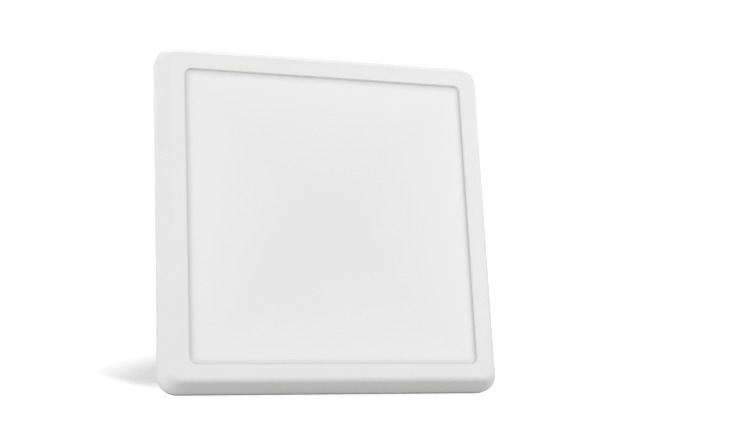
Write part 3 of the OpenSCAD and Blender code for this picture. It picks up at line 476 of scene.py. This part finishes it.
def roundEdges(bm, edges, width, steps, layer):
    made = bmesh.ops.bevel(bm, geom=edges, offset=width, offset_type="OFFSET", segments=steps,
                           profile=0.5, affect="EDGES", clamp_overlap=False)
    for face in made["faces"]:
        upward = face.normal.z >= softening["upward"]
        face[layer] = softening["wearAndHighlightUpward" if upward else "wearAndHighlight"]


# a CAD piece with its real edges rounded, as a mould or a press leaves them. An edge is sharp
# from the angle least, in radians. A bend is a wider round on the long edges at some depths,
# the levels, and goes no further out than reach
def soften(node, name, body, radius, segments=2, least=0.45, bend=0.0, levels=(0.0,), reach=1.0):
    bm = bmesh.new()
    bm.from_mesh(frame["nodes"][node].data)
    bmesh.ops.remove_doubles(bm, verts=bm.verts, dist=mergeGap)
    # each round's share of the bright edge colour: partly rubbed wear, partly a painted highlight
    layer = bm.faces.layers.float.new("wearAndHighlight")

    def bends(vert):
        gap = min(abs(vert.co.y - level) for level in levels)
        return gap < softening["levelGap"] and max(abs(vert.co.x), abs(vert.co.z)) < reach

    if bend:
        bent = [edge for edge in sharpEdges(bm, least)
                if edge.calc_length() > softening["longEdge"] and all(map(bends, edge.verts))]
        roundEdges(bm, bent, bend, softening["bendSteps"], layer)
    roundEdges(bm, sharpEdges(bm, least), radius, segments, layer)
    piece = addPiece(name, closeMesh(name, bm), body, slotOf[node], node)
    evenNormals(piece)
    return piece


# a smooth line through the points, cut into equal steps
def smoothRoute(points, step, fine=16):
    points = [Vector(point) for point in points]
    dense = []
    for index in range(len(points) - 1):
        before = points[index - 1] if index else points[0] * 2 - points[1]
        after = points[index + 2] if index + 2 < len(points) else points[-1] * 2 - points[-2]
        first, second = points[index], points[index + 1]
        for part in range(fine):
            t = part / fine
            dense.append(0.5 * (2 * first + (second - before) * t
                                + (2 * before - 5 * first + 4 * second - after) * t * t
                                + (3 * first - before - 3 * second + after) * t ** 3))
    dense.append(points[-1])
    total = sum((b - a).length for a, b in zip(dense, dense[1:]))
    count = max(2, round(total / step))
    route, travelled, place = [dense[0]], 0.0, 0
    for number in range(1, count):
        wanted = total * number / count
        while travelled + (dense[place + 1] - dense[place]).length < wanted:
            travelled += (dense[place + 1] - dense[place]).length
            place += 1
        span = dense[place + 1] - dense[place]
        route.append(dense[place] + span * ((wanted - travelled) / span.length))
    route.append(dense[-1])
    return route


# a closed tube; outline gives its radius at an angle and a distance along the route
def tube(name, route, outline, around=12):
    points, faces, along = [], [], 0.0
    side = None
    for index, point in enumerate(route):
        ahead = (route[min(index + 1, len(route) - 1)] - route[max(index - 1, 0)]).normalized()
        if side is None:
            side = ahead.orthogonal().normalized()
        side = (side - ahead * side.dot(ahead)).normalized()
        across = ahead.cross(side)
        if index:
            along += (point - route[index - 1]).length
        for turn in range(around):
            angle = math.tau * turn / around
            spoke = side * math.cos(angle) + across * math.sin(angle)
            points.append(point + spoke * outline(angle, along))
    last = (len(route) - 1) * around
    for index in range(len(route) - 1):
        for turn in range(around):
            low, beside = index * around + turn, index * around + (turn + 1) % around
            faces.append((low, beside, beside + around, low + around))
    faces.append(tuple(range(around - 1, -1, -1)))
    faces.append(tuple(range(last, last + around)))
    return meshFrom(name, points, faces)


def joinMeshes(name, meshes):
    bm = bmesh.new()
    for mesh in meshes:
        bm.from_mesh(mesh)
        bpy.data.meshes.remove(mesh)
    return closeMesh(name, bm)


# the route is in millimetres, as the part's source has it, and the rest is in metres
tether = {
    "route": (
        (-66, -8.6, -80), (-64.5, -8.6, -85), (-62, -8.8, -89.5), (-58, -9.2, -93.2),
        (-52.5, -9.4, -95.6), (-46.5, -9.6, -96.6), (-40, -9.6, -96.3), (-33, -9.6, -94.4),
        (-26, -9.4, -90.9), (-19.5, -9.2, -86), (-13.5, -8.6, -80.3), (-8, -7.8, -74),
        (-3.8, -6.9, -68.8), (-0.7, -6.4, -64.5), (2, -6.4, -60)),
    "radius": 0.0006, "strands": 6, "relief": 0.1, "lay": 0.007, "length": 0.092,
    "step": 0.00035, "around": 24, "lugRound": 0.0002,
}


def makeTether(values):
    route = smoothRoute([Vector(point) / 1000 for point in values["route"]], values["step"])

    # the strands turn once round the rope in each lay
    def outline(angle, along):
        lobe = abs(math.cos(values["strands"] / 2 * (angle + math.tau * along / values["lay"])))
        return values["radius"] * (1 - values["relief"] + values["relief"] * lobe)

    mesh = tube("tetherRope", route, outline, around=values["around"])
    rope = addPiece("tetherRope", mesh, None, "rope_wire")
    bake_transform(rope)
    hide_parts("tether_rope")
    lugs = [soften("lamp_lug", "lampLug", "lamp", values["lugRound"]),
            soften("bracket_lug", "bracketLug", "bracket", values["lugRound"])]


makeTether(tether)
print("tether made")

# all in metres, but the slope in degrees
frontFrame = {
    "side": 0.3, "corner": 0.016, "front": 0.025, "rear": 0.0008, "wall": 0.0028, "rim": 0.0009,
    "slopeWidth": 0.0092, "slope": 60.0, "brow": 0.006, "shoulder": 0.005,
    "opening": 0.023, "openingCorner": 0.006, "lip": 0.0004, "lipDepth": 0.0024,
    "lipRound": 0.0004, "lipFoot": 0.0002, "innerBorder": 0.008, "innerDrop": 0.0008,
    "cornerSteps": 16, "straightSteps": 10,
}


# points of an arc about a centre, each its distance in from the side and its depth
def arc(centre, radius, start, end, steps):
    turns = [math.radians(start + (end - start) * step / steps) for step in range(steps + 1)]
    return [(centre[0] + radius * math.cos(turn), centre[1] + radius * math.sin(turn))
            for turn in turns]


# the section of the side: up from the rear rim, a slope between two rounds, the flat border
# and the lip, and back down inside the wall
def frameOutline(values):
    front, rear, wall, slope = values["front"], values["rear"], values["wall"], values["slope"]
    brow, shoulder, lean = values["brow"], values["shoulder"], math.radians(values["slope"])
    rim, edge = values["rim"], values["opening"]
    tight, foot = values["lipRound"], values["lipFoot"]
    slopeRear = front - values["slopeWidth"] * math.tan(lean)
    browIn = values["slopeWidth"] + brow * math.tan(lean / 2)
    shoulderRear = slopeRear - shoulder * math.tan(math.radians(45) - lean / 2)
    inner = edge - values["lip"]
    outline = [(rim, rear), (rim / 3, rear + rim / 3), (0.0, rear + rim)]
    outline += [(0.0, (rear + slopeRear) / 2)]
    outline += arc((shoulder, shoulderRear), shoulder, 180, 90 + slope, steps=6)
    outline += arc((browIn, front - brow), brow, 90 + slope, 90, steps=10)
    outline += [((browIn + inner) / 2, front)]
    outline += arc((inner - tight, front - tight), tight, 90, 10, steps=5)
    outline += [(edge - foot / 2, front - values["lipDepth"]), (edge, front - wall + foot)]
    outline += [(edge - foot, front - wall)]
    outline += [(values["slopeWidth"] + values["innerBorder"], front - wall)]
    outline += arc((browIn, front - brow), brow - wall, 90, 90 + slope, steps=4)
    outline += [(wall, slopeRear - values["innerDrop"]), (wall, rear + rim)]
    outline += [(wall - rim / 3, rear + rim / 3), (wall - rim, rear)]
    return outline


# the radius of the corners at a distance in from the side
def cornerAt(inset, values):
    flat = values["slopeWidth"] + values["brow"] * math.tan(math.radians(values["slope"] / 2))
    edge, lip = values["opening"], values["lip"] + values["lipRound"]
    if inset <= flat:
        return values["corner"] - inset
    if inset > edge - lip - values["lipFoot"] / 2:
        return values["openingCorner"] + edge - inset
    share = (inset - flat) / (edge - lip - flat)
    return (values["corner"] - flat) * (1 - share) + (values["openingCorner"] + lip) * share


def squareRing(half, radius, depth, steps, straight):
    ring = []
    for quarterTurn in range(4):
        turn = Matrix.Rotation(math.tau * quarterTurn / 4, 3, "Y")
        for step in range(steps + 1):
            angle = math.pi / 2 * step / steps
            ring.append(turn @ Vector((half - radius + radius * math.cos(angle), -depth,
                                       -(half - radius) - radius * math.sin(angle))))
        for step in range(1, straight):
            ring.append(turn @ Vector(((half - radius) * (1 - 2 * step / straight), -depth, -half)))
    return ring


def makeFrontFrame(values):
    half, steps, straight = values["side"] / 2, values["cornerSteps"], values["straightSteps"]
    rings = [squareRing(half - inset, cornerAt(inset, values), depth, steps, straight)
             for inset, depth in frameOutline(values)]
    count = len(rings[0])
    points = [point for ring in rings for point in ring]
    faces = []
    for row in range(len(rings)):
        here, ahead = row * count, (row + 1) % len(rings) * count
        for index in range(count):
            beside = (index + 1) % count
            faces.append((here + index, ahead + index, ahead + beside, here + beside))
    mesh = meshFrom("frontFrame", points, faces)
    bm = bmesh.new()
    bm.from_mesh(mesh)
    bmesh.ops.recalc_face_normals(bm, faces=bm.faces)
    bm.to_mesh(mesh)
    bm.free()
    evenNormals(addPiece("frontFrame", mesh, "lamp", "white_moulding", "front_frame"))


makeFrontFrame(frontFrame)
print("front frame made")

rearShell = {"radius": 0.0003, "least": 0.6, "bend": 0.0012, "levels": (-0.012,), "reach": 0.13}
terminalCover = {"radius": 0.0004}

soften("rear_shell", "rearShell", "lamp", **rearShell)
soften("terminal_cover", "terminalCover", "lamp", **terminalCover)
print("rear shell and terminal cover made")

rails = {"radius": 0.0003, "segments": 3, "bend": 0.0008}
centrePlate = {"radius": 0.0003, "segments": 3}

soften("upper_rail", "upperRail", "bracket", **rails)
soften("lower_rail", "lowerRail", "bracket", **rails)
soften("centre_plate", "centrePlate", "bracket", **centrePlate)
print("bracket made")

latchEdge = {"radius": 0.0003}
sliderEdge = {"radius": 0.00022}
tipEdge = {"radius": 0.0004, "segments": 3}
# each bar of a latch's sunk grip: width, height and how far above the rail's middle
latchGrip = {
    "across": 0.1372, "rear": -0.0002, "deep": 0.0015,
    "bars": ((0.0011, 0.0066, 0.0), (0.0032, 0.0012, 0.0028), (0.0032, 0.0012, -0.0028)),
}


def gripCutter(values, side):
    centre = Vector((values["across"] * side[0], values["rear"], railHeight * side[1]))
    bm = bmesh.new()
    for wide, tall, lift in values["bars"]:
        size = Vector((wide, 2 * values["deep"], tall))
        for vert in bmesh.ops.create_cube(bm, size=1.0)["verts"]:
            vert.co = centre + vert.co * size + Vector((0, 0, lift))
    return closeMesh("gripCutter", bm, smooth=False)


for corner, side in sides.items():
    place = corner.title().replace("_", "")
    latch = soften("latch_" + corner, "latch" + place, "latch_" + corner, **latchEdge)
    latch.data = cutMesh(latch.data, gripCutter(latchGrip, side))
    soften("slider_" + corner, "slider" + place, "clip_" + corner, **sliderEdge)
    soften("tip_" + corner, "tip" + place, "bail_" + corner, **tipEdge)
print("latches, sliders and tips made")

# a spring's coil round the pin with its straight tail, and half a bail: its eye round the pin,
# then the leg to the middle of the tip
clipWire = {
    "pin": (0.0926, 0.0046), "coil": 0.003, "radius": 0.0006, "turns": 6, "turnSteps": 24,
    "coilHalf": 0.0079, "tail": (0.0808, 0.0838, 0.0868, 0.0898), "tailRise": 0.0017,
    "eye": 0.0093, "eyeTurn": 280, "eyeSteps": 20, "legStep": 0.0008,
    "leg": ((0.1051, 0.0017, 0.0091), (0.1276, 0.0019, 0.0078), (0.1292, 0.0019, 0.0074),
            (0.1299, 0.0019, 0.0067), (0.1299, 0.0019, 0.0)),
}


# a point of the upper right clip, seen from its rail's middle, set at its own corner
def placed(point, side):
    return Vector((point[0] * side[0], point[1], point[2] + railHeight * side[1]))


def roundPin(values, angle, height):
    (pinX, pinY), coil = values["pin"], values["coil"]
    return (pinX + coil * math.sin(angle), pinY - coil * math.cos(angle), height)


def springRoute(values):
    route = [(x, values["tailRise"], -values["coilHalf"]) for x in values["tail"]]
    steps = values["turnSteps"] * values["turns"]
    for step in range(steps + 1):
        height = values["coilHalf"] * (2 * step / steps - 1)
        route.append(roundPin(values, math.tau * step / values["turnSteps"], height))
    return route


def bailRoute(values):
    steps, eye = values["eyeSteps"], values["eye"]
    turns = [math.radians(values["eyeTurn"] * (step / steps - 1)) for step in range(steps)]
    half = [Vector(roundPin(values, turn, eye)) for turn in turns]
    half += smoothRoute([roundPin(values, 0.0, eye), *values["leg"]], values["legStep"])
    return half + [Vector((point.x, point.y, -point.z)) for point in reversed(half[:-1])]


def makeClipWires(values):
    def outline(angle, along):
        return values["radius"]

    for corner, side in sides.items():
        for kind, body, route in (("spring_", "clip_", springRoute(values)),
                                  ("bail_", "bail_", bailRoute(values))):
            mesh = tube(kind + corner, [placed(point, side) for point in route], outline)
            addPiece(kind + corner, mesh, body + corner, "spring_wire", kind + corner)


makeClipWires(clipWire)
print("springs and bails made")

# the screws of a node are one piece, with the length of their shank or None for the CAD one's
screws = {
    "shell_screws": ("shellScrews", 0.014),
    "cover_screws": ("coverScrews", 0.0075),
    "tether_screw": ("tetherScrew", None),
}
# the dome's points are (radius, height), and turn is from one screw's cross to the next
screwHead = {
    "radius": 0.00315, "height": 0.0018, "brim": 0.0011, "underRound": 0.0001,
    "dome": ((0.0012, -0.00002), (0.002, -0.00012), (0.0026, -0.00034), (0.003, -0.0007)),
    "shank": 0.0014, "point": 0.0006, "spare": 0.00001, "around": 32, "turn": 0.7,
    "wing": 0.0021, "wingFoot": 0.5, "slot": 0.00062, "slotFoot": 0.7, "crossTop": 0.0004,
    "crossFoot": -0.0012,
}


# two crossed bars that narrow towards their foot
def crossCutter(values):
    bm = bmesh.new()
    for turn in (0, math.pi / 2):
        made = bmesh.ops.create_cube(bm, size=1.0)["verts"]
        for vert in made:
            deep = vert.co.y < 0
            vert.co.x *= 2 * values["wing"] * (values["wingFoot"] if deep else 1.0)
            vert.co.z *= values["slot"] * (values["slotFoot"] if deep else 1.0)
            vert.co.y = values["crossFoot"] if deep else values["crossTop"]
        bmesh.ops.rotate(bm, verts=made, cent=(0, 0, 0), matrix=Matrix.Rotation(turn, 3, "Y"))
    return closeMesh("crossCutter", bm, smooth=False)


# a pan head with its rear at y = 0 and its shank towards -Y
def screwMesh(values, length):
    top, radius, under = values["height"], values["radius"], values["underRound"]
    outline = [*values["dome"], (radius, -values["brim"]), (radius, -top + under)]
    outline += [(radius - under, -top), (values["shank"], -top)]
    outline += [(values["shank"], -top - length + values["point"])]
    around, points, faces = values["around"], [], []
    for wide, height in outline:
        for turn in range(around):
            angle = math.tau * turn / around
            points.append((wide * math.cos(angle), height, wide * math.sin(angle)))
    for row in range(len(outline) - 1):
        here, ahead = row * around, (row + 1) * around
        for turn in range(around):
            beside = (turn + 1) % around
            faces.append((here + turn, here + beside, ahead + beside, ahead + turn))
    faces.append(tuple(range(around - 1, -1, -1)))
    points.append((0.0, -top - length, 0.0))
    last = (len(outline) - 1) * around
    for turn in range(around):
        faces.append((last + turn, last + (turn + 1) % around, len(points) - 1))
    return meshFrom("screwHead", points, faces)


# the lowest and highest corner of each separate screw of a node, in a fixed order
def screwBoxes(node):
    bm = bmesh.new()
    bm.from_mesh(frame["nodes"][node].data)
    bmesh.ops.remove_doubles(bm, verts=bm.verts, dist=mergeGap)
    left, boxes = set(bm.verts), []
    while left:
        screw, queue = [], [left.pop()]
        while queue:
            vert = queue.pop()
            screw.append(vert.co)
            for edge in vert.link_edges:
                other = edge.other_vert(vert)
                if other in left:
                    left.discard(other)
                    queue.append(other)
        boxes.append([Vector([pick(point[axis] for point in screw) for axis in range(3)])
                      for pick in (min, max)])
    bm.free()
    boxes.sort(key=lambda box: tuple(round(box[0][axis] + box[1][axis], 4) for axis in (0, 2)))
    return boxes


def makeScrews(values):
    for node, (name, length) in screws.items():
        meshes = []
        for number, (low, high) in enumerate(screwBoxes(node)):
            shank = (length or high.y - low.y - values["height"]) - values["spare"]
            mesh = cutMesh(screwMesh(values, shank), crossCutter(values))
            middle = Vector(((low.x + high.x) / 2, high.y, (low.z + high.z) / 2))
            turn = Matrix.Rotation(values["turn"] * number, 4, "Y")
            mesh.transform(Matrix.Translation(middle) @ turn)
            meshes.append(mesh)
        evenNormals(addPiece(name, joinMeshes(name, meshes), "lamp", "screw_steel", node))


makeScrews(screwHead)
print("screws made")

# the floor leans with the light that stands on it. It shows from above only, and its glow is
# weakest behind the light, where the shadow falls. What the room lights with isn't what is seen
# of it: that is stronger from behind and weaker from above. A lamp's place is across, along the
# floor and up from it, from the point where the light touches the floor
stage = {
    "lean": 20.0, "touch": (0.0, -0.0006, -0.1502), "size": 12.0,
    "floor": grey(0.72), "bounce": grey(0.54), "floorRoughness": 0.9,
    "glowFront": 0.7, "glowBehind": 0.12, "glowTurn": (-0.004, 0.05), "glowHalf": 0.15,
    "glowFar": 1.1, "glowFrom": 0.17, "glowTo": 0.32,
    "room": grey(1.0), "roomLight": 0.95, "rearLight": 2.1, "rearBand": (0.25, 0.75),
    "roofLoss": 0.42, "roomSeen": 1.05,
    "lamps": {
        "key": {"from": (-1.7, -0.8, 0.0), "size": 1.3, "energy": 12.5},
        "side": {"from": (1.1, -0.75, 0.9), "size": 0.4, "energy": 4.0},
        "rear": {"from": (-0.1, 1.5, 1.3), "size": 0.8, "energy": 3.0},
    },
}


# how strongly the floor glows: it falls from the front to behind across glowTurn, further back
# where a point is more than glowHalf to either side, and rises again far away
def floorGlow(tree, place, values):
    split = splitPlace(tree, place)
    across = mathNode(tree, "ABSOLUTE", split["X"], 0.0)
    outside = mathNode(tree, "SUBTRACT", values["glowHalf"], across)
    depth = mathNode(tree, "ADD", split["Y"], mathNode(tree, "MINIMUM", outside, 0.0))
    behind = rangeNode(tree, depth, *values["glowTurn"])
    behind.inputs["To Min"].default_value = values["glowFront"]
    behind.inputs["To Max"].default_value = values["glowBehind"]
    away = tree.nodes.new("ShaderNodeVectorMath")
    away.operation = "DISTANCE"
    wire(tree, place, away.inputs[0])
    away.inputs[1].default_value = values["touch"]
    glow = rangeNode(tree, away.outputs["Value"], values["glowFrom"], values["glowTo"])
    wire(tree, behind.outputs["Result"], glow.inputs["To Min"])
    glow.inputs["To Max"].default_value = values["glowFar"]
    return glow.outputs["Result"]


def makeFloor(values, centre, along):
    reach = values["size"] / 2
    corners = [centre + Vector((x * reach, 0, 0)) + along * y * reach
               for x, y in ((-1, -1), (1, -1), (1, 1), (-1, 1))]
    floor = bpy.data.objects.new("floor", meshFrom("floor", corners, [(0, 1, 2, 3)]))
    scene.collection.objects.link(floor)
    material = bpy.data.materials.new("floorPaper")
    material.use_nodes = True
    tree = material.node_tree
    surface = tree.nodes["Principled BSDF"]
    surface.inputs["Roughness"].default_value = values["floorRoughness"]
    surface.inputs["Specular IOR Level"].default_value = 0.0
    surface.inputs["Emission Color"].default_value = values["room"]
    ray = tree.nodes.new("ShaderNodeLightPath").outputs["Is Camera Ray"]
    tone = colourMix(tree, ray, values["bounce"], values["floor"])
    wire(tree, tone, surface.inputs["Base Color"])
    geometry = tree.nodes.new("ShaderNodeNewGeometry").outputs
    glow = mathNode(tree, "MULTIPLY", ray, floorGlow(tree, geometry["Position"], values))
    wire(tree, glow, surface.inputs["Emission Strength"])
    clear = tree.nodes.new("ShaderNodeBsdfTransparent")
    mixed = tree.nodes.new("ShaderNodeMixShader")
    wire(tree, geometry["Backfacing"], mixed.inputs[0])
    wire(tree, surface.outputs[0], mixed.inputs[1])
    wire(tree, clear.outputs[0], mixed.inputs[2])
    wire(tree, mixed.outputs[0], tree.nodes["Material Output"].inputs["Surface"])
    floor.data.materials.append(material)


def makeRoom(values):
    room = bpy.data.worlds.new("room")
    room.use_nodes = True
    tree = room.node_tree
    light = tree.nodes["Background"]
    seen = tree.nodes.new("ShaderNodeBackground")
    mixed = tree.nodes.new("ShaderNodeMixShader")
    for background in (light, seen):
        background.inputs["Color"].default_value = values["room"]
    seen.inputs["Strength"].default_value = values["roomSeen"]
    split = splitPlace(tree, tree.nodes.new("ShaderNodeTexCoord").outputs["Generated"])
    rear = rangeNode(tree, split["Y"], *values["rearBand"])
    rear.inputs["To Min"].default_value = values["roomLight"]
    rear.inputs["To Max"].default_value = values["rearLight"]
    height = mathNode(tree, "MAXIMUM", split["Z"], 0.0)
    roof = mathNode(tree, "MULTIPLY", height, values["roofLoss"])
    wire(tree, mathNode(tree, "SUBTRACT", rear.outputs["Result"], roof), light.inputs["Strength"])
    wire(tree, tree.nodes.new("ShaderNodeLightPath").outputs["Is Camera Ray"], mixed.inputs[0])
    wire(tree, light.outputs[0], mixed.inputs[1])
    wire(tree, seen.outputs[0], mixed.inputs[2])
    wire(tree, mixed.outputs[0], tree.nodes["World Output"].inputs["Surface"])
    scene.world = room


def makeStage(values):
    lean = math.radians(values["lean"])
    up = Vector((0, -math.sin(lean), math.cos(lean)))
    along = Vector((0, math.cos(lean), math.sin(lean)))
    centre = Vector(values["touch"])
    makeFloor(values, centre, along)
    makeRoom(values)
    for name, lamp in values["lamps"].items():
        data = bpy.data.lights.new(name, "AREA")
        data.shape = "DISK"
        data.size = lamp["size"]
        data.energy = lamp["energy"]
        light = bpy.data.objects.new(name, data)
        scene.collection.objects.link(light)
        across, ahead, high = lamp["from"]
        light.location = centre + up * high + along * ahead + Vector((across, 0, 0))
        light.rotation_euler = (-light.location).to_track_quat("-Z", "Y").to_euler()


makeStage(stage)
print("stage ready")
